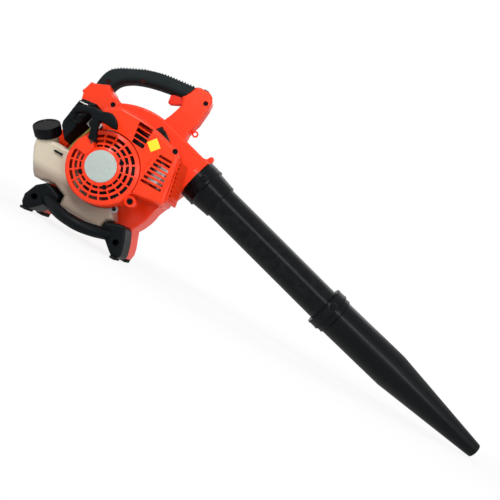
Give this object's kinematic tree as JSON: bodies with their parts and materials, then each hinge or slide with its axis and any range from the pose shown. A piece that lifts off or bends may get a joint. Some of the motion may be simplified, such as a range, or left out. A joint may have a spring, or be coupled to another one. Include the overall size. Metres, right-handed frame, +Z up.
{
  "type": "leaf blower",
  "caption": "Hand-held petrol leaf blower: orange volute housing with loop handle and recoil starter, black bow stand and long tapered blower tube.",
  "frame": {"origin": "middle of the footprint, on the ground that the feet stand on", "axes": "+X forward along the tube towards the nozzle, +Z up, the rope starter faces -Y"},
  "size_m": [1.053, 0.2192, 0.379],
  "materials": {
    "orange_plastic": "glossy injection moulding",
    "trigger_plastic": "glossy",
    "black_satin": "satin black moulding",
    "grip_black": "satin textured grip",
    "tube_black": "semi-gloss black tube",
    "foot_rubber": "matt rubber",
    "tank_plastic": "milky translucent",
    "cast_alloy": "cast",
    "steel": "plain",
    "emblem_silver": "silver-grey satin",
    "black_screws": "black oxide",
    "dark_moulding": "matt",
    "filter_foam": "open foam",
    "rope": "braided",
    "fuel_hose": "translucent"
  },
  "bodies": {
    "machine": {"air_filter_cover": "black_satin", "bearing_far": "steel", "bearing_near": "steel", "carburettor": "cast_alloy", "casing_feet": "foot_rubber", "choke_pivot": "steel", "connecting_rod": "cast_alloy", "crankcase": "cast_alloy", "cylinder": "cast_alloy", "emblem_disc": "emblem_silver", "engine_cover": "orange_plastic", "fan_housing_far": "orange_plastic", "fan_housing_near": "orange_plastic", "filter_base": "black_satin", "filter_element": "filter_foam", "fuel_line": "fuel_hose", "fuel_tank": "tank_plastic", "grip_far": "grip_black", "grip_near": "grip_black", "grip_screws": "black_screws", "handle_screws": "black_screws", "ignition_coil": "dark_moulding", "intake_block": "dark_moulding", "intake_guard": "black_satin", "muffler": "steel", "muffler_guard": "orange_plastic", "piston": "cast_alloy", "plug_boot": "foot_rubber", "spark_plug": "steel", "stand": "black_satin", "stand_feet": "foot_rubber", "stand_screws": "black_screws", "starter_housing": "orange_plastic", "starter_screws": "black_screws", "strap_ring": "orange_plastic", "tank_bolt": "steel", "trigger_pin": "steel"},
    "rotor": {"crankshaft": "steel", "flywheel": "cast_alloy", "fan_impeller": "dark_moulding"},
    "reel": {"starter_reel": "dark_moulding"},
    "pull": {"starter_handle": "black_satin", "starter_rope": "rope"},
    "trigger": {"throttle_trigger": "trigger_plastic"},
    "choke": {"choke_lever": "orange_plastic"},
    "primer": {"primer_bulb": "foot_rubber"},
    "cap": {"fuel_cap": "black_satin"},
    "switch": {"stop_switch": "black_satin"},
    "pipe": {"upper_pipe": "tube_black", "pipe_collar": "tube_black", "collar_lock": "tube_black"},
    "nozzle_end": {"nozzle": "tube_black", "nozzle_lock": "tube_black"}
  },
  "joints": [
    {"name": "crank_spin", "type": "hinge", "parent": "machine", "child": "rotor", "pos_m": [-0.36478, 0.06235, 0.1366], "axis": [0, 1, 0], "continuous": true},
    {"name": "starter_pull", "type": "slide", "parent": "machine", "child": "pull", "axis": [-0.2131, -0.4226, 0.8809], "range_m": [0, 0.04], "stiffness_N_per_m": 20, "springref_m": -0.05},
    {"name": "reel_turn", "type": "hinge", "parent": "machine", "child": "reel", "pos_m": [-0.36478, 0.06235, 0.1366], "axis": [0, 1, 0], "range_deg": [-80, 0]},
    {"name": "trigger_squeeze", "type": "hinge", "parent": "machine", "child": "trigger", "pos_m": [-0.31878, 0.06235, 0.342], "axis": [0, 1, 0], "range_deg": [0, 12], "stiffness_Nm_per_rad": 0.25, "springref_deg": -17.19},
    {"name": "choke_turn", "type": "hinge", "parent": "machine", "child": "choke", "pos_m": [-0.46378, 0.01235, 0.164], "axis": [0, 1, 0], "range_deg": [0, 40]},
    {"name": "primer_press", "type": "slide", "parent": "machine", "child": "primer", "axis": [0, 1, 0], "range_m": [0, 0.006], "stiffness_N_per_m": 400},
    {"name": "cap_turn", "type": "hinge", "parent": "machine", "child": "cap", "pos_m": [-0.49578, -0.02165, 0.143], "axis": [-0.3892, -0.6157, 0.6852], "range_deg": [0, 270]},
    {"name": "stop_slide", "type": "slide", "parent": "machine", "child": "switch", "axis": [1, 0, 0], "range_m": [-0.003, 0.003]},
    {"name": "pipe_twist", "type": "hinge", "parent": "machine", "child": "pipe", "pos_m": [-0.22579, 0.06235, 0.21604], "axis": [0.9643, 0, -0.2647], "range_deg": [0, 30]},
    {"name": "nozzle_twist", "type": "hinge", "parent": "pipe", "child": "nozzle_end", "pos_m": [0.13969, 0.06235, 0.11571], "axis": [0.969, 0, -0.247], "range_deg": [0, 45]}
  ],
  "couplings": [
    {"joint": "reel_turn", "follows": "starter_pull", "rad_per_m": -31.25}
  ]
}
